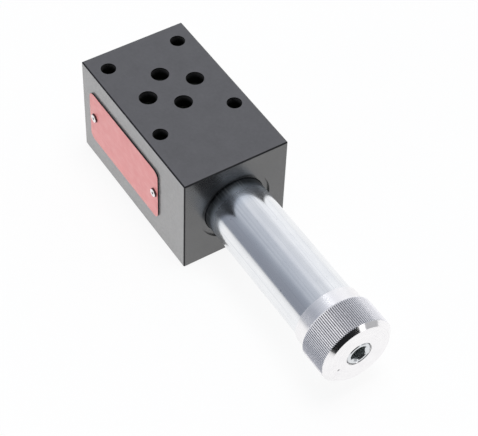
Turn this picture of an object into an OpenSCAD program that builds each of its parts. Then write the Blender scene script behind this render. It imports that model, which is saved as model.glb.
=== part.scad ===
// Hydraulic sandwich valve of size 6: a pressure reducing valve with a screw adjuster.
// Millimetres. The origin is the middle of the port pattern on the bottom face, +Z is up,
// and +X runs along the valve axis from the block to the knob.

/* [Body block] */
// Length of the block along the valve axis
block_l = 77; // [72:0.5:90]
// Width of the block
block_w = 45; // [42:0.5:60]
// Height of the block
block_h = 45; // [42:0.5:60]
// Distance from the rear face to the middle of the port pattern
block_rear = 30.4; // [28:0.2:36]
// Chamfer along every outer edge of the block
block_chamfer = 0.5; // [0.2:0.1:1.5]

/* [Port pattern] */
// Distance of port A behind the middle of the pattern
port_a_x = 8.8; // [8:0.1:10]
// Distance of port B in front of the middle of the pattern
port_b_x = 8.7; // [8:0.1:10]
// Distance of port P from the valve axis
port_p_y = 10.4; // [10:0.1:12]
// Distance of port T from the valve axis
port_t_y = 10.4; // [10:0.1:12]
// Diameter of a port at the face
port_d = 7.2; // [6:0.1:7.5]
// Depth of the straight mouth of a port
mouth_depth = 6; // [4:0.5:6.5]
// Diameter of the drillings inside the block
drill_d = 6; // [4:0.2:6.4]
// Least wall between a drilling and the spool bore
drill_wall = 1.5; // [1:0.1:2]
// Distance of the rear bolt holes behind the middle of the pattern
bolt_rear_x = 21.5; // [20:0.25:24]
// Distance between the two rear bolt holes
bolt_rear_span = 31; // [28:0.25:34]
// Distance of the front bolt holes in front of the middle of the pattern
bolt_front_x = 19; // [17:0.25:21]
// Distance between the two front bolt holes
bolt_front_span = 32.5; // [29:0.25:35]
// Diameter of a bolt hole
bolt_d = 6; // [5.2:0.1:6.6]

/* [Port seals] */
// Diameter of the seal recess around a port in the bottom face
recess_d = 12.8; // [12:0.1:13]
// Depth of a seal recess
recess_h = 1.35; // [1:0.05:1.8]
// Width of a port seal when it is squeezed flat
port_seal_w = 2; // [1.9:0.05:2.4]

/* [Spool] */
// Diameter of the spool bore
bore_d = 12; // [10:0.2:13]
// Distance of the inlet groove behind the middle of the pattern
inlet_x = 16; // [15.5:0.25:17.5]
// Width of the inlet groove
inlet_w = 3.5; // [3:0.25:4]
// Diameter of the inlet groove
inlet_d = 17; // [15.5:0.25:18]
// Distance of the tank edge in front of the middle of the pattern
tank_x = 13.5; // [13:0.25:16]
// Diameter of the spring chamber in the block
chamber_d = 17; // [16.6:0.1:18]
// Opening of the inlet when the spool is at rest
inlet_open = 1.5; // [1:0.1:2]
// Travel of the spool before it opens to tank
tank_lap = 2; // [1.6:0.1:3]
// Diameter of the neck between the two lands of the spool
neck_d = 7.6; // [6:0.2:9]
// Length of the front land that stands in the spring chamber at rest
land_out = 4; // [3:0.25:6]
// Diameter of the pin on each end of the spool
spool_pin_d = 6; // [5:0.2:7]
// Length of the pin that rests on the end plug
spool_nose_l = 1; // [0.5:0.25:1.5]
// Length of the pin that carries the spring guide
spool_pin_l = 6; // [4:0.5:8]
// Diameter of the sensing bore along the spool
sense_d = 2.6; // [2:0.1:3]
// Diameter of the damping jet
jet_d = 4; // [3.4:0.1:4.4]
// Length of the damping jet
jet_l = 4; // [3:0.25:5]
// Diameter of the hole in the damping jet
jet_hole_d = 0.8; // [0.5:0.1:1.2]

/* [End plug] */
// Diameter of the plug that closes the rear end of the bore
plug_d = 16; // [14.5:0.25:18]
// Length of the plug
plug_l = 8; // [7.5:0.25:9.5]
// Width across the flats of the plug's socket
plug_hex = 8; // [6:0.5:9]
// Depth of the plug's socket
plug_hex_depth = 4.5; // [4.2:0.1:5]

/* [Adjuster tube] */
// Outer diameter of the tube
tube_d = 25.5; // [25:0.1:27.5]
// Length of the tube outside the block
tube_out = 70; // [62:0.5:80]
// Inner diameter of the tube
tube_bore_d = 19; // [18.6:0.1:20]
// Diameter of the spot face in the front of the block
spot_d = 30.4; // [29.5:0.2:34]
// Depth of the spot face
spot_depth = 0.8; // [0.6:0.1:2]
// Length of the plain stretch of the tube inside the block
pilot_l = 4; // [3.4:0.1:5]
// Diameter of the thread on the tube
thread_d = 24; // [23:0.1:24.4]
// Length of the thread on the tube
thread_l = 13; // [9:0.5:14]
// Length of the threaded end of the tube that carries the spindle
nut_l = 14; // [10:0.5:16]

/* [Spring] */
// Diameter of the spring wire
wire_d = 2.4; // [1.8:0.1:2.6]
// Diameter of the middle of the coils
coil_d = 12.6; // [12.2:0.1:13]
// Number of coils
coil_turns = 11; // [8:1:14]

/* [Spring guide and spring plate] */
// Diameter of the bosses that centre the spring
boss_d = 9.2; // [8.8:0.1:9.5]
// Length of the bosses that centre the spring
boss_l = 4; // [3:0.5:6]
// Thickness of the flange of the spring guide
guide_t = 3; // [2:0.25:4]
// Length of the spring plate
plate_len = 9; // [8:0.5:11]
// Diameter of the ball between spindle and spring plate
ball_d = 6; // [5:0.5:7]

/* [Spindle] */
// Diameter of the spindle thread
spindle_d = 10; // [9:0.5:11]
// Length of the spindle
spindle_l = 39; // [36:0.5:46]
// Lead of the spindle thread for one turn
spindle_pitch = 1.5; // [1:0.25:1.5]
// Width across the flats of the spindle's socket
spindle_hex = 6; // [4.5:0.5:6.5]
// Depth of the spindle's socket
spindle_hex_depth = 6; // [4.5:0.5:8]
// Width of the countersink around the corners of the socket
socket_lead = 0.3; // [0:0.05:0.6]
// Turns that the knob can be backed out from the shown setting
back_turns = 1; // [1:1:2]
// Diameter of the stop ring
stop_d = 14; // [13:0.5:16]
// Thickness of the stop ring
stop_t = 1.2; // [0.8:0.1:1.6]

/* [Knob] */
// Diameter over the knurl
knob_d = 29.6; // [29:0.1:34]
// Length of the knob with its skirt
knob_l = 20.2; // [18:0.1:24]
// Diameter of the smooth skirt
skirt_d = 27; // [26.5:0.1:28.6]
// Length of the smooth skirt
skirt_l = 6; // [4:0.5:7]
// Thickness of the closed end of the knob
knob_floor = 5.7; // [4:0.1:7]
// Free travel between the end of the tube and the closed end of the knob
knob_room = 5; // [4.6:0.1:7]
// Chamfer around the end face of the knob
knob_chamfer = 1.8; // [0.5:0.1:2.5]
// Number of knurl teeth
knurl_teeth = 114; // [80:1:120]
// Depth of the knurl
knurl_depth = 0.35; // [0.2:0.05:0.5]
// Distance of the punch mark from the knob's axis
mark_r = 9.2; // [7.5:0.1:11.5]
// Diameter of the punch mark
mark_d = 0.9; // [0.5:0.1:1.5]

/* [Nameplate] */
// Length of the nameplate
plate_w = 52; // [44:0.2:56]
// Height of the nameplate
plate_h = 25; // [20:0.2:32]
// Thickness of the nameplate
plate_t = 0.65; // [0.4:0.05:1.2]
// Radius of the nameplate's corners
plate_corner = 3; // [1:0.25:6]
// Distance of the nameplate's middle in front of the port pattern
plate_x = 2.3; // [0:0.1:6]
// Height of the nameplate's middle above the valve axis
plate_z = 0.4; // [0:0.1:1]
// Distance of the rear rivet from the rear end of the nameplate
rivet_rear_inset = 3.7; // [2.5:0.1:6]
// Distance of the front rivet from the front end of the nameplate
rivet_front_inset = 2.5; // [2.3:0.1:6]
// Height of the rivets above the middle of the nameplate
rivet_rise = 0.5; // [-4:0.1:4]
// Diameter of a rivet's shank
rivet_d = 2; // [1.5:0.1:2.4]
// Length of a rivet's shank in the block
rivet_l = 3; // [2:0.25:3.5]
// Diameter of a rivet's head
rivet_head_d = 3.8; // [3:0.1:4.2]
// Height of a rivet's head
rivet_head_h = 0.8; // [0.6:0.05:1.3]
// Width of the slope around a rivet's head
rivet_slope = 0.25; // [0.1:0.05:0.5]

/* [Fits and seals] */
// Radial clearance of threads, spool and plate in their bores
fit = 0.05; // [0.02:0.01:0.08]
// Radial clearance of the knob on the tube
knob_fit = 0.1; // [0.05:0.01:0.15]
// Diameter of the section of the O-rings
ring_d = 1.4; // [1.2:0.05:1.5]
// Room between an O-ring and the walls around it
ring_room = 0.03; // [0.02:0.01:0.05]
// Lead-in chamfer at the mouth of the tube's bore
mouth_lead = 0.2; // [0.1:0.05:0.6]
// Small chamfer on turned ends
edge = 0.5; // [0.2:0.05:0.6]

/* [Hidden] */
$fn = 96;

steel_black = "#5d5c61";
zinc_bright = "#c9cdd4";
steel_ground = "#b9bbc0";
alu_turned = "#dcdde0";
plate_red = "#c4524c";
spring_steel = "#8d9097";
brass_jet = "#b89a55";
rubber_black = "#1d1d1f";

// How far a cutting shape runs past the face that it cuts
past = 1;

// Stations along the valve axis
axis_z = block_h / 2;
rear_x = -block_rear;
front_x = block_l - block_rear;
plug_x = rear_x + plug_l;
inlet_rear = -inlet_x - inlet_w / 2;
inlet_front = -inlet_x + inlet_w / 2;
spot_x = front_x - spot_depth;
shoulder_x = spot_x - pilot_l;
thread_x = shoulder_x - thread_l;
thread_runout = 1;
tube_end = front_x + tube_out;
nut_x = tube_end - nut_l;
knob_floor_x = tube_end + knob_room;
knob_end = knob_floor_x + knob_floor;
skirt_x = knob_end - knob_l;
knurl_x = skirt_x + skirt_l;
spindle_tip = knob_end - spindle_l;
stop_x = nut_x - back_turns * spindle_pitch - stop_t - ring_room;
ball_x = spindle_tip - ball_d / 2 - ring_room;
// The ball stands out of the spring plate by a third of its diameter
plate_front = ball_x + ball_d / 6;
plate_rear = plate_front - plate_len;
neck_rear = inlet_front - inlet_open;
neck_front = tank_x - tank_lap;
land_end = tank_x + land_out;
guide_end = land_end + guide_t;

// Radii
bore_r = bore_d / 2;
tube_r = tube_d / 2;
tube_bore_r = tube_bore_d / 2;
pilot_bore_r = tube_r + knob_fit;
knob_bore_r = tube_r + knob_fit;
spindle_r = spindle_d / 2;
spool_r = bore_r - fit;
jet_r = jet_d / 2;

// An O-ring lies in a groove this wide, and this much below the bore that it seals against
groove_w = ring_d * 1.25;
groove_h = ring_d + 2 * ring_room;
plug_ring_x = plug_x - groove_w;
tube_ring_x = shoulder_x + groove_w;
knob_ring_x = tube_end - 2 * groove_w;
plate_ring_x = (plate_rear + plate_front) / 2 - groove_w;
stop_groove = 0.8;

// The spring lies between the guide and the plate, with one closed coil at each end
spring_l = plate_rear - guide_end;
closed_pitch = wire_d * 1.04;
open_pitch = (spring_l - wire_d - 2 * closed_pitch) / (coil_turns - 2);
coil_steps = 18;
wire_sides = 8;

// Port centres on the two faces
port_p = [0, port_p_y];
port_t = [0, -port_t_y];
port_a = [-port_a_x, 0];
port_b = [port_b_x, 0];

// Where the drillings start below a face, and how far A and B go round the spool bore
mouth_low = recess_h + mouth_depth;
mouth_high = block_h - mouth_depth;
bypass_gap = bore_r + drill_d / 2 + drill_wall;
bypass_rise = axis_z - mouth_low;
bypass_y = bypass_gap * bypass_rise / sqrt(bypass_rise * bypass_rise - bypass_gap * bypass_gap);
// The upper leg is a little thinner and ends inside the lower one, which runs on past it
upper_d = drill_d - 0.4;
elbow_past = drill_d / 2 + 0.2;

// The inlet and tank drillings end this far outside the groove that they open, at this angle
// below the middle when seen along the valve axis
reach_out = 0.9;
reach_angle = 32;

function reach(x, side, groove_d) =
    let (r = groove_d / 2 + reach_out)
    [x, side * r * cos(reach_angle), axis_z - r * sin(reach_angle)];

mark_angle = 203;
plate_side = -block_w / 2;
rivet_rear_x = rivet_rear_inset - plate_w / 2;
rivet_front_x = plate_w / 2 - rivet_front_inset;
plate_mid_z = axis_z + plate_z;
rivet_z = plate_mid_z + rivet_rise;

// A body turned about the valve axis from a half section of [radius, x] points
module turned(section) {
    translate([0, 0, axis_z]) rotate([0, 90, 0]) rotate_extrude() polygon(section);
}

// A round bar along the valve axis
module bar(d, x0, x1) {
    translate([x0, 0, axis_z]) rotate([0, 90, 0]) cylinder(d = d, h = x1 - x0);
}

// A hexagonal bar along the valve axis, given its width across the flats
module hex_bar(flats, x0, x1) {
    translate([x0, 0, axis_z]) rotate([0, 90, 0]) cylinder(d = flats / cos(30), h = x1 - x0, $fn = 6);
}

// A drilling from one point to another, and a little further where it meets a second one
module drilling(p, q, d, further = 0) {
    v = q - p;
    translate(p) rotate([0, acos(v[2] / norm(v)), atan2(v[1], v[0])]) cylinder(d = d, h = norm(v) + further);
}

// Half-section points of an O-ring groove cut into a turned body of radius r
function ring_groove(r, floor_r, x) = [
    [r, x - groove_w / 2], [floor_r, x - groove_w / 2], [floor_r, x + groove_w / 2], [r, x + groove_w / 2]
];

// An O-ring that stands just clear of a bore of radius r
module o_ring(r, x) {
    translate([x, 0, axis_z]) rotate([0, 90, 0]) rotate_extrude()
        translate([r - ring_room - ring_d / 2, 0]) circle(d = ring_d, $fn = 48);
}

// A rectangle with its corners cut off
module chamfered(l, w, c) {
    polygon([[c, 0], [l - c, 0], [l, c], [l, w - c], [l - c, w], [c, w], [0, w - c], [0, c]]);
}

// A rectangle with round corners, centred
module rounded(l, w, r) {
    square([l - 2 * r, w], center = true);
    square([l, w - 2 * r], center = true);
    for (sx = [-1, 1], sy = [-1, 1])
        translate([sx * (l / 2 - r), sy * (w / 2 - r)]) circle(r = r);
}

// The block before any hole is drilled
module block_blank() {
    c = block_chamfer;
    intersection() {
        translate([rear_x, -block_w / 2, 0])
            linear_extrude(block_h) chamfered(block_l, block_w, c);
        translate([rear_x, block_w / 2, 0])
            rotate([90, 0, 0]) linear_extrude(block_w) chamfered(block_l, block_h, c);
        translate([rear_x, -block_w / 2, 0])
            rotate([90, 0, 90]) linear_extrude(block_l) chamfered(block_w, block_h, c);
    }
}

// Every hole along the valve axis as one turned core
module axis_core() {
    plug_r = plug_d / 2 + fit;
    thread_r = thread_d / 2 + fit;
    turned([
        [0, rear_x - past], [plug_r + edge + past, rear_x - past], [plug_r, rear_x + edge], [plug_r, plug_x],
        [bore_r, plug_x], [bore_r, inlet_rear], [inlet_d / 2, inlet_rear], [inlet_d / 2, inlet_front],
        [bore_r, inlet_front], [bore_r, tank_x], [chamber_d / 2, tank_x],
        [chamber_d / 2, thread_x - thread_runout], [thread_r, thread_x - thread_runout],
        [thread_r, shoulder_x], [pilot_bore_r, shoulder_x], [pilot_bore_r, spot_x - mouth_lead],
        [pilot_bore_r + mouth_lead, spot_x], [spot_d / 2, spot_x], [spot_d / 2, front_x + past],
        [0, front_x + past]
    ]);
}

// The straight mouth of a port in the top face
module top_mouth(port) {
    translate([port[0], port[1], mouth_high]) cylinder(d = port_d, h = mouth_depth + past);
}

// The seal recess and the straight mouth of a port in the bottom face
module bottom_mouth(port) {
    translate([port[0], port[1], -past]) {
        cylinder(d = recess_d, h = recess_h + past);
        cylinder(d = port_d, h = mouth_low + past);
    }
}

// A line that passes beside the spool bore, on the side given by its sign
module bypass(port, side) {
    elbow = [port[0], side * bypass_y, axis_z];
    drilling([port[0], port[1], mouth_low], elbow, drill_d, elbow_past);
    drilling([port[0], port[1], mouth_high], elbow, upper_d);
}

module ports() {
    for (port = [port_p, port_t, port_a, port_b]) {
        top_mouth(port);
        bottom_mouth(port);
    }
    bypass(port_a, -1);
    bypass(port_b, 1);
    // P: from below to the inlet groove, and from the spool up to the top face
    drilling([port_p[0], port_p[1], mouth_low], reach(-inlet_x, 1, inlet_d), drill_d);
    drilling([port_p[0], port_p[1], mouth_high], [port_p[0], 0, axis_z], drill_d);
    // T: straight through, with a branch to the spring chamber
    translate([port_t[0], port_t[1], 0]) cylinder(d = drill_d, h = block_h);
    drilling([port_t[0], port_t[1], mouth_low], reach(tank_x + drill_d / 2, -1, chamber_d), drill_d);
}

module bolt_holes() {
    for (side = [-1, 1], place = [[-bolt_rear_x, bolt_rear_span], [bolt_front_x, bolt_front_span]])
        translate([place[0], side * place[1] / 2, -past]) cylinder(d = bolt_d, h = block_h + 2 * past);
}

module rivet_hole(x) {
    translate([plate_x + x, plate_side + rivet_l + fit, rivet_z])
        rotate([90, 0, 0]) cylinder(d = rivet_d + 2 * fit, h = rivet_l + fit + past);
}

module valve_body() {
    color(steel_black) difference() {
        block_blank();
        axis_core();
        ports();
        bolt_holes();
        rivet_hole(rivet_rear_x);
        rivet_hole(rivet_front_x);
    }
}

module spool() {
    pin_r = spool_pin_d / 2;
    land_x = plug_x + spool_nose_l;
    color(steel_ground) difference() {
        turned([
            [0, plug_x], [pin_r, plug_x], [pin_r, land_x], [spool_r, land_x], [spool_r, neck_rear],
            [neck_d / 2, neck_rear], [neck_d / 2, neck_front], [spool_r, neck_front], [spool_r, land_end],
            [pin_r, land_end], [pin_r, land_end + spool_pin_l], [0, land_end + spool_pin_l]
        ]);
        bar(jet_d + 2 * fit, plug_x - past, plug_x + jet_l + fit);
        // The sensing bore ends just past the hole that crosses the neck at port P
        bar(sense_d, plug_x, port_p[0] + sense_d);
        translate([port_p[0], 0, axis_z - neck_d]) cylinder(d = sense_d, h = 2 * neck_d);
    }
}

module spool_jet() {
    color(brass_jet) turned([
        [jet_hole_d / 2, plug_x + fit], [jet_r, plug_x + fit], [jet_r, plug_x + jet_l],
        [jet_hole_d / 2, plug_x + jet_l]
    ]);
}

module end_plug() {
    r = plug_d / 2;
    color(steel_black) difference() {
        turned(concat(
            [[0, rear_x], [r - edge, rear_x], [r, rear_x + edge]],
            ring_groove(r, r + fit - groove_h, plug_ring_x),
            [[r, plug_x], [0, plug_x]]
        ));
        hex_bar(plug_hex, rear_x - past, rear_x + plug_hex_depth);
    }
}

module end_plug_seal() {
    color(rubber_black) o_ring(plug_d / 2 + fit, plug_ring_x);
}

module adjuster_tube() {
    thread_r = thread_d / 2;
    nut_r = spindle_r + fit;
    floor_r = tube_r + knob_fit - groove_h;
    color(zinc_bright) turned(concat(
        [[tube_bore_r, thread_x], [thread_r - edge, thread_x], [thread_r, thread_x + edge]],
        [[thread_r, shoulder_x], [tube_r, shoulder_x]],
        ring_groove(tube_r, floor_r, tube_ring_x),
        ring_groove(tube_r, floor_r, knob_ring_x),
        [[tube_r, tube_end - edge], [tube_r - edge, tube_end], [nut_r, tube_end]],
        [[nut_r, nut_x], [tube_bore_r, nut_x]]
    ));
}

module tube_seal() {
    color(rubber_black) o_ring(pilot_bore_r, tube_ring_x);
}

module knob_seal() {
    color(rubber_black) o_ring(knob_bore_r, knob_ring_x);
}

module spring_guide() {
    hole_r = spool_pin_d / 2 + fit;
    flange_r = (coil_d + wire_d) / 2 + edge;
    boss_end = guide_end + boss_l;
    color(steel_ground) turned([
        [hole_r, land_end], [flange_r, land_end], [flange_r, guide_end], [boss_d / 2, guide_end],
        [boss_d / 2, boss_end - edge], [boss_d / 2 - edge, boss_end], [hole_r, boss_end]
    ]);
}

// Place along the axis of the wire's middle after t coils
function coil_x(t) = guide_end + wire_d / 2 + (
    t < 1 ? t * closed_pitch
    : t > coil_turns - 1 ? spring_l - wire_d - (coil_turns - t) * closed_pitch
    : closed_pitch + (t - 1) * open_pitch
);

// The wire has flat sides, so that its ends lie on the guide and the plate
module main_spring() {
    rings = coil_steps * coil_turns;
    corner_r = wire_d / 2 / cos(180 / wire_sides);
    points = [
        for (i = [0:rings], k = [0:wire_sides - 1])
            let (
                turn = 360 * i / coil_steps,
                around = 360 * (k + 0.5) / wire_sides,
                r = coil_d / 2 + corner_r * cos(around)
            )
            [coil_x(i / coil_steps) + corner_r * sin(around), r * cos(turn), axis_z + r * sin(turn)]
    ];
    sides = [
        for (i = [0:rings - 1], k = [0:wire_sides - 1])
            let (a = i * wire_sides + k, b = i * wire_sides + (k + 1) % wire_sides)
            [a, b, b + wire_sides, a + wire_sides]
    ];
    first_end = [for (k = [wire_sides - 1:-1:0]) k];
    last_end = [for (k = [0:wire_sides - 1]) rings * wire_sides + k];
    color(spring_steel) polyhedron(points, concat(sides, [first_end, last_end]));
}

module spring_plate() {
    r = tube_bore_r - fit;
    pocket_r = ball_d / 2 + fit;
    pocket_x = ball_x - ball_d / 2 - ring_room;
    color(steel_ground) turned(concat(
        [[0, plate_rear - boss_l], [boss_d / 2 - edge, plate_rear - boss_l]],
        [[boss_d / 2, plate_rear - boss_l + edge], [boss_d / 2, plate_rear], [r, plate_rear]],
        ring_groove(r, tube_bore_r - groove_h, plate_ring_x),
        [[r, plate_front - edge], [r - edge, plate_front], [pocket_r, plate_front]],
        [[pocket_r, pocket_x], [0, pocket_x]]
    ));
}

module spring_plate_seal() {
    color(rubber_black) o_ring(tube_bore_r, plate_ring_x);
}

module thrust_ball() {
    color(spring_steel) translate([ball_x, 0, axis_z]) sphere(d = ball_d);
}

module spindle() {
    neck_r = spindle_r - stop_groove;
    mouth_r = spindle_hex / cos(30) / 2 + socket_lead;
    color(spring_steel) difference() {
        turned([
            [0, spindle_tip], [spindle_r - edge, spindle_tip], [spindle_r, spindle_tip + edge],
            [spindle_r, stop_x - ring_room], [neck_r, stop_x - ring_room],
            [neck_r, stop_x + stop_t + ring_room], [spindle_r, stop_x + stop_t + ring_room],
            [spindle_r, knob_end - edge], [spindle_r - edge, knob_end], [0, knob_end]
        ]);
        hex_bar(spindle_hex, knob_end - spindle_hex_depth, knob_end + past);
        turned([
            [0, knob_end - mouth_r], [mouth_r + past, knob_end + past], [0, knob_end + past]
        ]);
    }
}

module spindle_stop_ring() {
    hole_r = spindle_r - stop_groove + ring_room;
    color(spring_steel) turned([
        [hole_r, stop_x], [stop_d / 2, stop_x], [stop_d / 2, stop_x + stop_t], [hole_r, stop_x + stop_t]
    ]);
}

// Straight knurl teeth around the knob, before the ends are chamfered
module knurl_bar(x0, x1) {
    tooth = 360 / knurl_teeth;
    outline = [
        for (i = [0:knurl_teeth - 1], k = [0, 1])
            let (r = knob_d / 2 - k * knurl_depth, a = (i + k / 2) * tooth)
            [r * cos(a), r * sin(a)]
    ];
    translate([x0, 0, axis_z]) rotate([0, 90, 0]) linear_extrude(x1 - x0) polygon(outline);
}

module knob() {
    r = knob_d / 2;
    skirt_r = skirt_d / 2;
    hole_r = spindle_r + fit;
    rim = 2 * knurl_depth;
    color(alu_turned) difference() {
        union() {
            turned([
                [0, skirt_x], [skirt_r - edge / 2, skirt_x], [skirt_r, skirt_x + edge / 2],
                [skirt_r, knurl_x + past], [0, knurl_x + past]
            ]);
            intersection() {
                knurl_bar(knurl_x, knob_end);
                turned([
                    [0, knurl_x], [r - rim, knurl_x], [r + past, knurl_x + rim + past],
                    [r + past, knob_end - knob_chamfer - past], [r - knob_chamfer, knob_end], [0, knob_end]
                ]);
            }
        }
        turned([
            [0, skirt_x - past], [knob_bore_r, skirt_x - past], [knob_bore_r, knob_floor_x],
            [hole_r, knob_floor_x], [hole_r, knob_end - edge], [hole_r + edge / 2, knob_end - edge / 2],
            [hole_r + edge / 2, knob_end + past], [0, knob_end + past]
        ]);
        translate([knob_end, mark_r * cos(mark_angle), axis_z + mark_r * sin(mark_angle)]) sphere(d = mark_d);
    }
}

module nameplate() {
    color(plate_red) translate([plate_x, plate_side, plate_mid_z]) rotate([90, 0, 0]) difference() {
        linear_extrude(plate_t) rounded(plate_w, plate_h, plate_corner);
        for (x = [rivet_rear_x, rivet_front_x])
            translate([x, rivet_rise, -past]) cylinder(d = rivet_d + 2 * fit, h = plate_t + 2 * past);
    }
}

// A flat-topped rivet with a dimple in its head, at a distance from the nameplate's middle
module rivet(x) {
    dimple_d = 0.3 * rivet_head_d;
    translate([plate_x + x, plate_side - plate_t, rivet_z]) rotate([90, 0, 0]) difference() {
        union() {
            translate([0, 0, -plate_t - rivet_l]) cylinder(d = rivet_d, h = plate_t + rivet_l);
            cylinder(d1 = rivet_head_d, d2 = rivet_head_d - 2 * rivet_slope, h = rivet_head_h);
        }
        translate([0, 0, rivet_head_h - dimple_d / 2]) cylinder(d = dimple_d, h = past);
    }
}

module rivet_rear() {
    color(steel_ground) rivet(rivet_rear_x);
}

module rivet_front() {
    color(steel_ground) rivet(rivet_front_x);
}

// A port seal lies squeezed flat in its recess, against the recess wall
module port_seal(port) {
    h = recess_h - 2 * ring_room;
    middle_r = (recess_d - port_seal_w) / 2 - ring_room;
    color(rubber_black) translate([port[0], port[1], recess_h / 2]) rotate_extrude()
        translate([middle_r, 0]) {
            square([port_seal_w - h, h], center = true);
            for (side = [-1, 1])
                translate([side * (port_seal_w - h) / 2, 0]) circle(d = h, $fn = 48);
        }
}

module port_seal_p() { port_seal(port_p); }
module port_seal_t() { port_seal(port_t); }
module port_seal_a() { port_seal(port_a); }
module port_seal_b() { port_seal(port_b); }

valve_body();
spool();
spool_jet();
end_plug();
end_plug_seal();
adjuster_tube();
tube_seal();
spring_guide();
main_spring();
spring_plate();
spring_plate_seal();
thrust_ball();
spindle();
spindle_stop_ring();
knob();
knob_seal();
nameplate();
rivet_rear();
rivet_front();
port_seal_p();
port_seal_t();
port_seal_a();
port_seal_b();
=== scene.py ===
import math

import bmesh
import bpy
from mathutils import Matrix, Vector


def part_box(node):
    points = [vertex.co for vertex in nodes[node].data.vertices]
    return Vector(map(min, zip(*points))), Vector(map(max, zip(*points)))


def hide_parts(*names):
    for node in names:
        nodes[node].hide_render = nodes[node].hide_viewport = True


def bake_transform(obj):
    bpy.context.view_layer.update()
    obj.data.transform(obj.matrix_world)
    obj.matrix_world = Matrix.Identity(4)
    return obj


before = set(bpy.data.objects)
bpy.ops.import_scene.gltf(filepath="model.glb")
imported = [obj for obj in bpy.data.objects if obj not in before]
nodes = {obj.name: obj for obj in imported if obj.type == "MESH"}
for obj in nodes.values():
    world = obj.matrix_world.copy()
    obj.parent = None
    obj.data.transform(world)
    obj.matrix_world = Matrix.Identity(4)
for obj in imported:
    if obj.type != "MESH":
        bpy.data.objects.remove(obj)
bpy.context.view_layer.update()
scene = bpy.context.scene
scene.view_settings.view_transform = "Standard"
print("frame loaded:", len(nodes), "nodes")

mm = 0.001

# places that the finishes are measured from, all in millimetres
blockLow, blockHigh = (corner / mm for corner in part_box("valve_body"))
springLow, springHigh = (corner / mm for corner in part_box("main_spring"))
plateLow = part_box("nameplate")[0] / mm
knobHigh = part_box("knob")[1] / mm
rivetMiddles = [sum(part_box(name), Vector()) / 2 / mm for name in ("rivet_rear", "rivet_front")]
axisHeight = (blockLow.z + blockHigh.z) / 2


class Wire:
    # one socket of a node tree; arithmetic on it adds Math nodes
    def __init__(self, tree, socket=None):
        self.tree = tree
        self.socket = socket

    def make(self, kind, settings=None, values=None, out=0):
        node = self.tree.nodes.new(kind)
        for name, value in (settings or {}).items():
            if name == "stops":
                setStops(node.color_ramp, value)
            else:
                setattr(node, name, value)
        for key, value in (values or {}).items():
            if isinstance(value, Wire):
                self.tree.links.new(value.socket, node.inputs[key])
            else:
                node.inputs[key].default_value = value
        return Wire(self.tree, node.outputs[out])

    def out(self, key):
        return Wire(self.tree, self.socket.node.outputs[key])

    def math(self, operation, first, second=0.0):
        return self.make("ShaderNodeMath", {"operation": operation}, {0: first, 1: second})

    def __add__(self, other):
        return self.math("ADD", self, other)

    def __radd__(self, other):
        return self.math("ADD", other, self)

    def __sub__(self, other):
        return self.math("SUBTRACT", self, other)

    def __rsub__(self, other):
        return self.math("SUBTRACT", other, self)

    def __mul__(self, other):
        return self.math("MULTIPLY", self, other)

    def __rmul__(self, other):
        return self.math("MULTIPLY", other, self)

    def __abs__(self):
        return self.math("ABSOLUTE", self)

    def __pow__(self, other):
        return self.math("POWER", self, other)

    def cosine(self):
        return self.math("COSINE", self)

    def sine(self):
        return self.math("SINE", self)

    def lesser(self, other):
        return self.math("MINIMUM", self, other)

    def greater(self, other):
        return self.math("MAXIMUM", self, other)

    def rise(self, low, high):
        # 0 below low, 1 above high, smooth between them; falls when low is the larger
        return self.make(
            "ShaderNodeMapRange",
            {"interpolation_type": "SMOOTHSTEP"},
            {"Value": self, "From Min": low, "From Max": high},
        )

    def into(self, socket):
        self.tree.links.new(self.socket, socket)


def setStops(ramp, stops):
    while len(ramp.elements) < len(stops):
        ramp.elements.new(0.5)
    for element, (place, color) in zip(ramp.elements, stops):
        element.position = place
        element.color = (*color, 1.0)


# numbers of the sockets that a Mix node uses for colors
mixSockets = {"factor": 0, "first": 6, "second": 7, "result": 2}


def mixColor(factor, first, second, blend="MIX"):
    wire = next(value for value in (factor, first, second) if isinstance(value, Wire))
    values = {mixSockets["factor"]: factor}
    for key, color in (("first", first), ("second", second)):
        values[mixSockets[key]] = color if isinstance(color, Wire) else (*color, 1.0)
    settings = {"data_type": "RGBA", "blend_type": blend}
    return wire.make("ShaderNodeMix", settings, values, out=mixSockets["result"])


def weighted(weights, wires):
    # a base value with named wires added to it, each at its own weight
    total = weights.get("base", 0.0)
    for key, weight in weights.items():
        if key != "base":
            total = total + weight * wires[key]
    return total


def startMaterial(name, fixed=None):
    # gives the material, its shader and the Object coordinates in millimetres
    material = bpy.data.materials.new(name)
    material.use_nodes = True
    tree = material.node_tree
    tree.nodes.clear()
    shader = tree.nodes.new("ShaderNodeBsdfPrincipled")
    for key, value in (fixed or {}).items():
        shader.inputs[key].default_value = value
    output = tree.nodes.new("ShaderNodeOutputMaterial")
    tree.links.new(shader.outputs[0], output.inputs[0])
    coords = Wire(tree).make("ShaderNodeTexCoord", out="Object")
    place = coords.make("ShaderNodeVectorMath", {"operation": "SCALE"}, {0: coords, "Scale": 1 / mm})
    return material, shader, place


def splitPlace(place):
    split = place.make("ShaderNodeSeparateXYZ", values={0: place})
    return split.out("X"), split.out("Y"), split.out("Z")


def noise(place, perMillimetre, detail=2.0, stretch=(1, 1, 1), rough=0.5):
    stretched = place.make("ShaderNodeMapping", values={"Vector": place, "Scale": stretch})
    return stretched.make(
        "ShaderNodeTexNoise",
        values={"Vector": stretched, "Scale": perMillimetre, "Detail": detail, "Roughness": rough},
    )


def makeTextures(place, looks):
    return {name: noise(place, **look) for name, look in looks.items()}


def distance(first, second):
    # how far a place is from an axis, by its offsets in two directions
    return (first * first + second * second) ** 0.5


def bumpInto(shader, height, depth, strength):
    bump = height.make(
        "ShaderNodeBump", values={"Strength": strength, "Distance": depth * mm, "Height": height}
    )
    bump.into(shader.inputs["Normal"])


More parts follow.
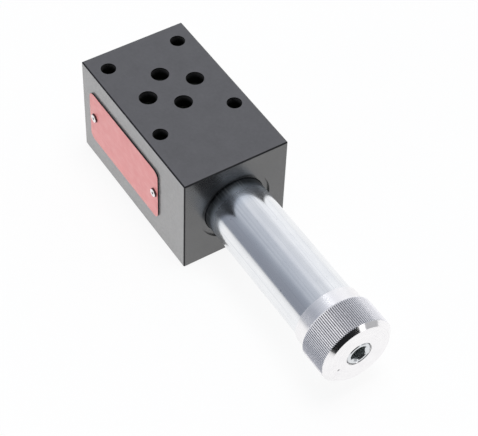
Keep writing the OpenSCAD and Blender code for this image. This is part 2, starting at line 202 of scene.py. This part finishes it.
# camera at the photograph's place, found from the hole pattern
cameraRig = {
    "place": (0.37934, -0.22541, 0.47376),
    "right": (0.5359122, 0.8437666, 0.0292577),
    "up": (-0.6452391, 0.3869777, 0.6587221),
    "back": (0.5444856, -0.3718954, 0.7518173),
    "lens": 121.08,
    "sensor": 36.0,
}


def makeCamera(rig):
    data = bpy.data.cameras.new("photoCamera")
    data.lens = rig["lens"]
    data.sensor_width = rig["sensor"]
    camera = bpy.data.objects.new("photoCamera", data)
    turn = Matrix((rig["right"], rig["up"], rig["back"])).transposed()
    camera.matrix_world = Matrix.Translation(rig["place"]) @ turn.to_4x4()
    scene.collection.objects.link(camera)
    scene.camera = camera


makeCamera(cameraRig)
print("camera placed")

# block: phosphated iron, glossy on its ground faces and dull along the edges
blockFinish = {
    "fixed": {"Specular IOR Level": 0.15, "Coat IOR": 1.95, "Coat Roughness": 0.22},
    "top": (0.026, 0.025, 0.031),
    "ends": (0.014, 0.014, 0.015),
    "sides": (0.205, 0.203, 0.200),
    "edge": (0.016, 0.016, 0.018),
    "nick": (0.22, 0.21, 0.20),
    "wall": (0.055, 0.055, 0.057),
    "inside": (0.005, 0.006, 0.004),
    "textures": {
        "cloud": {"perMillimetre": 0.16, "detail": 4.0},
        "mottle": {"perMillimetre": 0.75, "detail": 3.0, "rough": 0.6},
        "grain": {"perMillimetre": 2.2, "detail": 3.0, "rough": 0.7},
        "brush": {"perMillimetre": 1.6, "stretch": (0.06, 1.0, 1.0)},
        "nicks": {"perMillimetre": 0.55, "detail": 3.0},
    },
    "faceDepth": (0.1, 0.02),
    "shade": {"base": 0.55, "cloud": 0.36, "mottle": 0.4, "grain": 0.1, "brush": 0.08},
    "chamfer": 0.5,
    "chamferFade": (1.12, 1.04),
    "chamferStart": (0.02, 0.06),
    "nickRange": (0.66, 0.74),
    "nickShare": 0.7,
    "spotFloor": 0.9,
    "holeStart": (0.5, 0.7),
    "holeShade": (0.6, 3.6),
    "roughness": {"base": 0.42, "cloud": 0.1, "inside": 0.3},
    "gloss": {"base": 0.8, "cloud": 0.14, "mottle": 0.16},
    "relief": {"grain": 1.0, "brush": 0.5},
    "bump": {"depth": 0.012, "strength": 0.5},
}


def blockMaterial(finish):
    material, shader, place = startMaterial("phosphatedIron", finish["fixed"])
    x, y, z = splitPlace(place)
    wires = makeTextures(place, finish["textures"])
    fromSide = blockHigh.y - abs(y)
    fromFlat = z.lesser(blockHigh.z - z)
    fromEnd = (blockHigh.x - x).lesser(x - blockLow.x)

    # painted light: each face has its own shade for how the light falls on it, the long sides a much
    # lighter grey and the ends darker than the top
    longSide, flat = (depth.rise(*finish["faceDepth"]) for depth in (fromSide, fromFlat))
    color = mixColor(flat, finish["ends"], finish["top"])
    color = mixColor(longSide, color, finish["sides"])
    color = mixColor(1.0, color, weighted(finish["shade"], wires), "MULTIPLY")

    # chamfers, with a few bright nicks
    edge = onChamfer(fromSide, fromFlat, finish) + onChamfer(fromSide, fromEnd, finish)
    edge = (edge + onChamfer(fromFlat, fromEnd, finish)).lesser(1.0)
    nick = edge * wires["nicks"].rise(*finish["nickRange"])
    color = mixColor(edge, color, finish["edge"])
    color = mixColor(nick * finish["nickShare"], color, finish["nick"])

    # painted light and shade in the holes: the walls a lighter grey near the mouth, fading with depth
    # to near black
    depth = fromSide.lesser(fromFlat).lesser(x - blockLow.x)
    depth = depth.lesser(blockHigh.x - finish["spotFloor"] - x)
    wires["inside"] = depth.rise(*finish["holeShade"])
    wall = depth.rise(*finish["holeStart"])
    color = mixColor(wall, color, finish["wall"])
    mixColor(wires["inside"], color, finish["inside"]).into(shader.inputs["Base Color"])
    weighted(finish["roughness"], wires).into(shader.inputs["Roughness"])
    gloss = weighted(finish["gloss"], wires)
    ((1.0 - edge) * (1.0 - wall) * gloss).into(shader.inputs["Coat Weight"])
    bumpInto(shader, weighted(finish["relief"], wires), **finish["bump"])
    return material


def onChamfer(first, second, finish):
    # 1 on the chamfer between two faces, from the distances to both
    outer, inner = (finish["chamfer"] * share for share in finish["chamferFade"])
    start = finish["chamferStart"]
    return (first + second).rise(outer, inner) * first.rise(*start) * second.rise(*start)


# nameplate: plain satin red paint, with near-black side walls
plateFinish = {
    "ior": 1.5,
    "red": (0.86, 0.285, 0.275),
    "worn": (0.90, 0.36, 0.345),
    "edge": (0.012, 0.010, 0.010),
    "textures": {
        "blotch": {"perMillimetre": 0.3, "detail": 4.0},
        "rows": {"perMillimetre": 1.0, "stretch": (0.12, 1.0, 0.9)},
        "grain": {"perMillimetre": 3.0},
    },
    "wear": {"blotch": 0.6, "rows": 0.4},
    "wearRange": (0.38, 0.66),
    "paintDepth": (0.12, 0.03),
    "roughness": {"base": 0.29, "grain": 0.1},
    "relief": {"grain": 1.0, "rows": 1.0},
    "bump": {"depth": 0.01, "strength": 0.5},
}


def plateMaterial(finish):
    material, shader, place = startMaterial("satinRedPaint", {"IOR": finish["ior"]})
    y = splitPlace(place)[1]
    wires = makeTextures(place, finish["textures"])
    wear = weighted(finish["wear"], wires).rise(*finish["wearRange"])
    color = mixColor(wear, finish["red"], finish["worn"])
    face = (y - plateLow.y).rise(*finish["paintDepth"])
    mixColor(face, finish["edge"], color).into(shader.inputs["Base Color"])
    weighted(finish["roughness"], wires).into(shader.inputs["Roughness"])
    bumpInto(shader, weighted(finish["relief"], wires), **finish["bump"])
    return material


# tube: bright zinc on drawn steel, streaked along its length, with painted reflection and shadow
# darkening it towards the block
tubeFinish = {
    "bright": (0.885, 0.895, 0.91),
    "dull": (0.82, 0.835, 0.86),
    "root": (0.62, 0.71, 0.83),
    "seat": (0.14, 0.158, 0.176),
    "line": (0.60, 0.63, 0.68),
    "speck": (0.30, 0.32, 0.35),
    "textures": {
        "streak": {"perMillimetre": 1.0, "detail": 3.0, "stretch": (0.05, 0.8, 0.8)},
        "cloud": {"perMillimetre": 0.16, "detail": 5.0, "stretch": (0.7, 1.0, 1.0), "rough": 0.6},
        "grain": {"perMillimetre": 3.0, "detail": 3.0},
        "lines": {"perMillimetre": 1.0, "stretch": (0.012, 1.7, 1.7)},
        "specks": {"perMillimetre": 0.7, "detail": 1.0},
    },
    "patches": {"streak": 0.4, "cloud": 0.6},
    "patchRange": (0.36, 0.66),
    "rootReach": (12.0, 1.0),
    "seatReach": (5.0, 0.6),
    "lineRange": (0.54, 0.68),
    "lineShare": 0.3,
    "speckRange": (0.765, 0.80),
    "speckShare": 0.6,
    "roughness": {
        "base": 0.09, "cloud": 0.07, "streak": 0.03, "grain": 0.03, "root": 0.12, "seat": 0.1,
    },
    "bump": {"depth": 0.003, "strength": 0.35},
}


def tubeMaterial(finish):
    material, shader, place = startMaterial("brightZinc", {"Metallic": 1.0})
    x = splitPlace(place)[0]
    wires = makeTextures(place, finish["textures"])
    patches = weighted(finish["patches"], wires).rise(*finish["patchRange"])
    color = mixColor(patches, finish["bright"], finish["dull"])
    # painted reflection of the dark block face near the root, and painted shadow where the tube meets
    # the block
    for part in ("root", "seat"):
        wires[part] = (x - blockHigh.x).rise(*finish[part + "Reach"])
        color = mixColor(wires[part], color, finish[part])
    for mark in ("line", "speck"):
        shown = wires[mark + "s"].rise(*finish[mark + "Range"])
        color = mixColor(shown * finish[mark + "Share"], color, finish[mark])
    color.into(shader.inputs["Base Color"])
    weighted(finish["roughness"], wires).into(shader.inputs["Roughness"])
    bumpInto(shader, wires["grain"], **finish["bump"])
    return material


# knob: turned aluminium, with a polished chamfer around its end face
knobFinish = {
    "turned": (0.955, 0.945, 0.95),
    "shadow": (0.88, 0.865, 0.88),
    "tip": (0.90, 0.885, 0.90),
    "groove": (0.17, 0.165, 0.17),
    "gapShade": (0.12, 0.125, 0.125),
    "cloud": {"perMillimetre": 0.25, "detail": 3.0},
    "turning": {"perMillimetre": 4.0},
    "patches": {"turning": 0.6, "cloud": 0.4},
    "patchRange": (0.34, 0.72),
    "chamfer": 1.8,
    "chamferStart": (-0.02, 0.04),
    "chamferEnd": (0.01, 0.05),
    "skirtRadius": 13.6,
    "skirtEnd": 113.1,
    "skirtFade": (0.02, -0.02),
    "knurlDepth": 0.35,
    "knurlStart": (0.02, -0.04),
    "toothFoot": (0.0, 0.3),
    "tipWidth": 0.12,
    "rimFade": (-0.1, 0.05),
    "tipMetal": 0.66,
    "gapRadius": (5.19, 5.15),
    "roughness": {"base": 0.15, "turning": 0.1},
    "polished": {"base": 0.11, "turning": 0.06},
    "skirtRoughness": 0.08,
    "bump": {"depth": 0.004, "strength": 0.35},
}


def knobMaterial(finish):
    material, shader, place = startMaterial("turnedAluminium")
    x, y, z = splitPlace(place)
    radius = distance(y, z - axisHeight)
    turned = x.make("ShaderNodeCombineXYZ", values={0: x, 1: radius})
    wires = {"cloud": noise(place, **finish["cloud"]), "turning": noise(turned, **finish["turning"])}
    patches = weighted(finish["patches"], wires).rise(*finish["patchRange"])
    color = mixColor(patches, finish["turned"], finish["shadow"])

    # painted shade darkens the knurl grooves; the teeth get their own color and less metal
    fromChamfer = x - (knobHigh.x - finish["chamfer"])
    fromRim = x - (finish["skirtEnd"] + 2 * finish["knurlDepth"])
    teeth = (radius - finish["skirtRadius"]).rise(*finish["toothFoot"])
    teeth = teeth * fromChamfer.rise(*finish["knurlStart"])
    groove = teeth * (knobHigh.y - radius).rise(finish["tipWidth"], finish["knurlDepth"])
    groove = groove * fromRim.rise(*finish["rimFade"])
    color = mixColor(teeth, color, finish["tip"])
    color = mixColor(groove, color, finish["groove"])
    (1.0 - (1.0 - finish["tipMetal"]) * teeth * (1.0 - groove)).into(shader.inputs["Metallic"])
    # painted shade in the gap around the spindle
    gapShade = radius.rise(*finish["gapRadius"])
    mixColor(gapShade, color, finish["gapShade"]).into(shader.inputs["Base Color"])

    rough = weighted(finish["roughness"], wires)
    chamfer = fromChamfer.rise(*finish["chamferStart"])
    chamfer = chamfer * (knobHigh.x - x).rise(*finish["chamferEnd"])
    rough = rough + chamfer * (weighted(finish["polished"], wires) - rough)
    onSkirt = (x - finish["skirtEnd"]).rise(*finish["skirtFade"])
    (rough + finish["skirtRoughness"] * onSkirt).into(shader.inputs["Roughness"])
    bumpInto(shader, wires["turning"], **finish["bump"])
    return material


# spindle: bright steel, with painted shade inside the hex socket and in the gap around its end
spindleFinish = {
    "bright": (0.74, 0.76, 0.78),
    "inside": (0.36, 0.39, 0.39),
    "gapShade": (0.12, 0.125, 0.125),
    "grain": {"perMillimetre": 2.0, "detail": 3.0},
    "socketDepth": (0.75, 0.9),
    "socketRadius": (3.7, 3.5),
    "gapRadius": (4.8, 4.88),
    "gapDepth": (1.1, 0.9),
    "insideMetal": 0.4,
    "roughness": {"base": 0.18, "grain": 0.08, "inside": 0.2},
}


def spindleMaterial(finish):
    material, shader, place = startMaterial("brightSteel")
    x, y, z = splitPlace(place)
    radius = distance(y, z - axisHeight)
    depth = knobHigh.x - x
    # painted shade inside the hex socket
    inside = depth.rise(*finish["socketDepth"]) * radius.rise(*finish["socketRadius"])
    wires = {"grain": noise(place, **finish["grain"]), "inside": inside}
    color = mixColor(inside, finish["bright"], finish["inside"])
    # painted shade in the gap around the end
    gapShade = radius.rise(*finish["gapRadius"]) * depth.rise(*finish["gapDepth"])
    mixColor(gapShade, color, finish["gapShade"]).into(shader.inputs["Base Color"])
    (1.0 - (1.0 - finish["insideMetal"]) * inside).into(shader.inputs["Metallic"])
    weighted(finish["roughness"], wires).into(shader.inputs["Roughness"])
    return material


# rivets: bright alloy with a dark dimple in each head, and painted shade, dark red like the plate,
# around its foot
rivetFinish = {
    "bright": (0.95, 0.93, 0.93),
    "dull": (0.82, 0.80, 0.80),
    "dimple": (0.03, 0.025, 0.028),
    "footShade": (0.055, 0.003, 0.004),
    "grain": {"perMillimetre": 2.4, "detail": 3.0},
    "grainRange": (0.3, 0.7),
    "dimpleRadius": 0.57,
    "dimpleFade": 0.85,
    "footHeight": (0.75, 0.65),
    "roughness": {"base": 0.12, "grain": 0.08, "dimple": 0.3, "footShade": 0.4},
    "bump": {"depth": 0.006, "strength": 0.4},
}


def rivetMaterial(finish):
    material, shader, place = startMaterial("rivetAlloy")
    x, y, z = splitPlace(place)
    rear, front = rivetMiddles
    aside = abs(x - rear.x).lesser(abs(x - front.x))
    radius = distance(aside, z - front.z)
    size = finish["dimpleRadius"]
    wires = {
        "grain": noise(place, **finish["grain"]),
        "dimple": radius.rise(size, size * finish["dimpleFade"]),
        "footShade": (plateLow.y - y).rise(*finish["footHeight"]),
    }
    color = mixColor(wires["grain"].rise(*finish["grainRange"]), finish["bright"], finish["dull"])
    color = mixColor(wires["dimple"], color, finish["dimple"])
    # painted shade around the foot of each head
    mixColor(wires["footShade"], color, finish["footShade"]).into(shader.inputs["Base Color"])
    (1.0 - wires["footShade"]).into(shader.inputs["Metallic"])
    weighted(finish["roughness"], wires).into(shader.inputs["Roughness"])
    bumpInto(shader, wires["grain"], **finish["bump"])
    return material


# inner pieces: plain metals and rubber with the same grain, each with its own color and roughness
innerLook = {
    "textures": {
        "grain": {"perMillimetre": 1.6, "detail": 3.0},
        "cloud": {"perMillimetre": 0.3},
    },
    "patches": {"grain": 0.5, "cloud": 0.5},
    "patchRange": (0.3, 0.7),
    "grainRoughness": 0.1,
    "bump": {"depth": 0.006, "strength": 0.4},
}
innerFinishes = {
    "groundSteel": {
        "color": (0.56, 0.57, 0.59),
        "dark": (0.42, 0.43, 0.45),
        "roughness": 0.19,
        "metal": 1.0,
    },
    "springSteel": {
        "color": (0.30, 0.31, 0.33),
        "dark": (0.2, 0.2, 0.22),
        "roughness": 0.29,
        "metal": 1.0,
    },
    "blackSteel": {
        "color": (0.045, 0.045, 0.048),
        "dark": (0.025, 0.025, 0.027),
        "roughness": 0.31,
        "metal": 0.0,
    },
    "turnedBrass": {
        "color": (0.66, 0.46, 0.17),
        "dark": (0.5, 0.33, 0.11),
        "roughness": 0.2,
        "metal": 1.0,
    },
    "sealRubber": {
        "color": (0.014, 0.014, 0.015),
        "dark": (0.008, 0.008, 0.009),
        "roughness": 0.5,
        "metal": 0.0,
    },
}


def innerMaterial(name, finish, look):
    material, shader, place = startMaterial(name, {"Metallic": finish["metal"]})
    wires = makeTextures(place, look["textures"])
    patches = weighted(look["patches"], wires).rise(*look["patchRange"])
    mixColor(patches, finish["color"], finish["dark"]).into(shader.inputs["Base Color"])
    rough = finish["roughness"] + look["grainRoughness"] * wires["grain"]
    rough.into(shader.inputs["Roughness"])
    bumpInto(shader, wires["grain"], **look["bump"])
    return material


finishes = {
    "phosphatedIron": blockMaterial(blockFinish),
    "satinRedPaint": plateMaterial(plateFinish),
    "brightZinc": tubeMaterial(tubeFinish),
    "turnedAluminium": knobMaterial(knobFinish),
    "brightSteel": spindleMaterial(spindleFinish),
    "rivetAlloy": rivetMaterial(rivetFinish),
}
for name, finish in innerFinishes.items():
    finishes[name] = innerMaterial(name, finish, innerLook)

# every node that isn't named here is a rubber seal
nodeFinishes = {
    "valve_body": "phosphatedIron",
    "nameplate": "satinRedPaint",
    "adjuster_tube": "brightZinc",
    "knob": "turnedAluminium",
    "spindle": "brightSteel",
    "end_plug": "blackSteel",
    "spool": "groundSteel",
    "spring_guide": "groundSteel",
    "spring_plate": "groundSteel",
    "thrust_ball": "groundSteel",
    "main_spring": "springSteel",
    "spindle_stop_ring": "springSteel",
    "spool_jet": "turnedBrass",
    "rivet_rear": "rivetAlloy",
    "rivet_front": "rivetAlloy",
}
for name, node in nodes.items():
    finish = finishes[nodeFinishes.get(name, "sealRubber")]
    node.data.materials.clear()
    node.data.materials.append(finish)
print("finishes set:", len(finishes))

# setting spring: made in two halves, a rear one and a front one; sizes in millimetres
springShape = {
    "wire": 2.4,
    "turns": 11.0,
    "closedTurns": 1.0,
    "closedPitch": 2.496,
    "stepsPerTurn": 40,
    "wireSteps": 16,
}


def springTree(material):
    tree = bpy.data.node_groups.new("coiledWire", "GeometryNodeTree")
    tree.interface.new_socket("Geometry", in_out="OUTPUT", socket_type="NodeSocketGeometry")
    sizes = ("First turn", "Last turn", "Turns", "Closed turns", "Rear end", "Axis height")
    sizes += ("Coil radius", "Wire radius", "Closed pitch", "Open pitch")
    counts = ("Steps", "Wire steps")
    keys = {}
    for kind, names in (("NodeSocketFloat", sizes), ("NodeSocketInt", counts)):
        for name in names:
            keys[name] = tree.interface.new_socket(name, in_out="INPUT", socket_type=kind).identifier
    given = tree.nodes.new("NodeGroupInput").outputs
    size = {name: Wire(tree, given[name]) for name in keys}

    # turns are closed at both ends and open between them
    line = Wire(tree).make("GeometryNodeCurvePrimitiveLine")
    path = line.make(
        "GeometryNodeResampleCurve", {"mode": "COUNT"}, {"Curve": line, "Count": size["Steps"]}
    )
    along = line.make("GeometryNodeSplineParameter", out="Factor")
    turn = size["First turn"] + along * (size["Last turn"] - size["First turn"])
    ending = size["Closed turns"]
    opened = (turn - ending).greater(0.0).lesser(size["Turns"] - 2.0 * ending)
    closed = turn.lesser(ending) + (turn - (size["Turns"] - ending)).greater(0.0)
    x = size["Rear end"] + size["Wire radius"]
    x = x + size["Closed pitch"] * closed + size["Open pitch"] * opened
    angle = turn * math.tau
    y = size["Coil radius"] * angle.cosine()
    z = size["Axis height"] + size["Coil radius"] * angle.sine()
    place = x.make("ShaderNodeCombineXYZ", values={0: x, 1: y, 2: z})
    coil = path.make("GeometryNodeSetPosition", values={"Geometry": path, "Position": place})
    ring = path.make(
        "GeometryNodeCurvePrimitiveCircle",
        {"mode": "RADIUS"},
        {"Resolution": size["Wire steps"], "Radius": size["Wire radius"]},
    )
    wire = coil.make(
        "GeometryNodeCurveToMesh", values={"Curve": coil, "Profile Curve": ring, "Fill Caps": True}
    )
    smooth = wire.make("GeometryNodeSetShadeSmooth", values={0: wire})
    real = smooth.make("GeometryNodeRealizeInstances", values={0: smooth})
    painted = real.make("GeometryNodeSetMaterial", values={"Geometry": real, "Material": material})
    painted.into(tree.nodes.new("NodeGroupOutput").inputs[0])
    return tree, keys


def makeSpringHalf(name, tree, keys, values):
    maker = bpy.data.objects.new(name + "Maker", bpy.data.meshes.new(name + "Maker"))
    scene.collection.objects.link(maker)
    coils = maker.modifiers.new("coils", "NODES")
    coils.node_group = tree
    for key, value in values.items():
        coils[keys[key]] = value
    ready = maker.evaluated_get(bpy.context.evaluated_depsgraph_get())
    mesh = bpy.data.meshes.new_from_object(ready)
    bpy.data.objects.remove(maker)
    shape = bmesh.new()
    shape.from_mesh(mesh)
    bmesh.ops.recalc_face_normals(shape, faces=shape.faces)
    shape.to_mesh(mesh)
    shape.free()
    mesh.name = name
    half = bpy.data.objects.new(name, mesh)
    scene.collection.objects.link(half)
    return half


def makeSpring(shape):
    tree, keys = springTree(finishes["springSteel"])
    wire, turns, closedTurns = shape["wire"], shape["turns"], shape["closedTurns"]
    coil = springHigh.y - springLow.y - wire
    closedLength = wire + 2 * closedTurns * shape["closedPitch"]
    openLength = springHigh.x - springLow.x - closedLength
    values = {
        "Turns": turns,
        "Closed turns": closedTurns,
        "Rear end": springLow.x * mm,
        "Axis height": axisHeight * mm,
        "Coil radius": coil / 2 * mm,
        "Wire radius": wire / 2 * mm,
        "Closed pitch": shape["closedPitch"] * mm,
        "Open pitch": openLength / (turns - 2 * closedTurns) * mm,
        "Steps": round(turns / 2 * shape["stepsPerTurn"]) + 1,
        "Wire steps": shape["wireSteps"],
    }
    rear, front = (Vector((x * mm, 0, axisHeight * mm)) for x in (springLow.x, springHigh.x))
    middle = (rear + front) / 2
    halves = (
        ("springRear", 0.0, turns / 2, "spool", "body", rear, middle),
        ("springFront", turns / 2, turns, "body", "adjuster", middle, front),
    )
    for name, first, last, before, after, start, end in halves:
        half = makeSpringHalf(name, tree, keys, {"First turn": first, "Last turn": last, **values})
        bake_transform(half)
        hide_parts("main_spring")


makeSpring(springShape)
print("spring coiled")

pureWhite = (1, 1, 1, 1)

# floor: a sheet that is white to the camera and, in reflections, fades towards its -Y edge
floorLook = {
    "low": (-2.0, -0.193),
    "high": (2.0, 2.0),
    "drop": 0.0002,
    "paper": (0.92, 0.92, 0.92),
    "whiteShare": 0.9,
    "mirrorFade": (-0.06, -0.19),
    "mirrorLoss": 0.3,
}


def makeFloor(look):
    (left, near), (right, far) = look["low"], look["high"]
    mesh = bpy.data.meshes.new("studioFloor")
    corners = [(left, near), (right, near), (right, far), (left, far)]
    mesh.from_pydata([(x, y, -look["drop"]) for x, y in corners], [], [(0, 1, 2, 3)])
    floor = bpy.data.objects.new("studioFloor", mesh)
    scene.collection.objects.link(floor)
    material = bpy.data.materials.new("studioPaper")
    material.use_nodes = True
    tree = material.node_tree
    tree.nodes.clear()
    ray = Wire(tree).make("ShaderNodeLightPath", out="Is Camera Ray")
    shown = ray.greater(ray.out("Is Glossy Ray")).greater(ray.out("Is Transmission Ray"))
    place = ray.make("ShaderNodeTexCoord", out="Object")
    split = place.make("ShaderNodeSeparateXYZ", values={0: place})
    fade = look["mirrorLoss"] * split.out("Y").rise(*look["mirrorFade"]) * (1.0 - ray)
    white = ray.make("ShaderNodeEmission", values={"Color": pureWhite, "Strength": 1.0 - fade})
    paper = ray.make("ShaderNodeBsdfDiffuse", values={"Color": (*look["paper"], 1.0)})
    mixed = ray.make("ShaderNodeMixShader", values={0: shown * look["whiteShare"], 1: paper, 2: white})
    mixed.into(tree.nodes.new("ShaderNodeOutputMaterial").inputs[0])
    mesh.materials.append(material)


makeFloor(floorLook)

# studio room: grey walls at -Y, rising to a bright one at +Y, and black where the camera stands
roomLook = {
    "walls": [
        (0.00, (0.23, 0.25, 0.30)),
        (0.09, (0.27, 0.29, 0.34)),
        (0.19, (0.36, 0.39, 0.45)),
        (0.24, (0.50, 0.53, 0.59)),
        (0.46, (0.53, 0.56, 0.62)),
        (0.52, (0.72, 0.74, 0.79)),
        (0.71, (0.71, 0.73, 0.77)),
        (0.80, (0.94, 0.95, 0.98)),
        (0.90, (0.97, 0.98, 1.00)),
        (1.00, (0.86, 0.87, 0.89)),
    ],
    "frontFrom": (-0.1, 0.45),
    "frontShare": 0.5,
    "blackSide": (0.9, -0.4),
    "blackFrom": (0.38, 0.62),
    "blackShare": 0.95,
}


def makeRoom(look):
    world = bpy.data.worlds.new("studioRoom")
    scene.world = world
    world.use_nodes = True
    tree = world.node_tree
    tree.nodes.clear()
    towards = Wire(tree).make("ShaderNodeTexCoord", out="Generated")
    split = towards.make("ShaderNodeSeparateXYZ", values={0: towards})
    x, y = split.out("X"), split.out("Y")
    # the ramp runs from 0 at -Y to 1 at +Y
    walls = y.make("ShaderNodeValToRGB", {"stops": look["walls"]}, {0: 0.5 + 0.5 * y})
    alongX, alongY = look["blackSide"]
    front = 1.0 - look["frontShare"] * x.rise(*look["frontFrom"])
    black = 1.0 - look["blackShare"] * (alongX * x + alongY * y).rise(*look["blackFrom"])
    room = walls.make("ShaderNodeBackground", values={"Color": walls, "Strength": front * black})
    white = walls.make("ShaderNodeBackground", values={"Color": pureWhite, "Strength": 1.0})
    ray = walls.make("ShaderNodeLightPath", out="Is Camera Ray")
    seen = walls.make("ShaderNodeMixShader", values={0: ray, 1: room, 2: white})
    seen.into(tree.nodes.new("ShaderNodeOutputWorld").inputs[0])


makeRoom(roomLook)

# lamps: place, point that each faces, size in metres and power
lampLooks = {
    "overhead": {
        "place": (0.1, 0.1, 1.3),
        "faces": (0.04, 0, 0.02),
        "size": 0.6,
        "watts": 9.0,
    },
    "sideFill": {
        "place": (0.08, -1.15, 0.25),
        "faces": (0.02, 0, 0.02),
        "size": 0.6,
        "watts": 4.2,
    },
    "frontCard": {
        "place": (0.985, 0.484, 0.525),
        "faces": (0.127, 0, 0.035),
        "size": 0.24,
        "watts": 0.24,
    },
}


def makeLamp(name, look):
    lamp = bpy.data.lights.new(name, "AREA")
    lamp.shape = "SQUARE"
    lamp.size = look["size"]
    lamp.energy = look["watts"]
    holder = bpy.data.objects.new(name, lamp)
    holder.location = look["place"]
    aim = Vector(look["faces"]) - Vector(look["place"])
    holder.rotation_euler = aim.to_track_quat("-Z", "Y").to_euler()
    scene.collection.objects.link(holder)


for name, look in lampLooks.items():
    makeLamp(name, look)
print("studio lit")
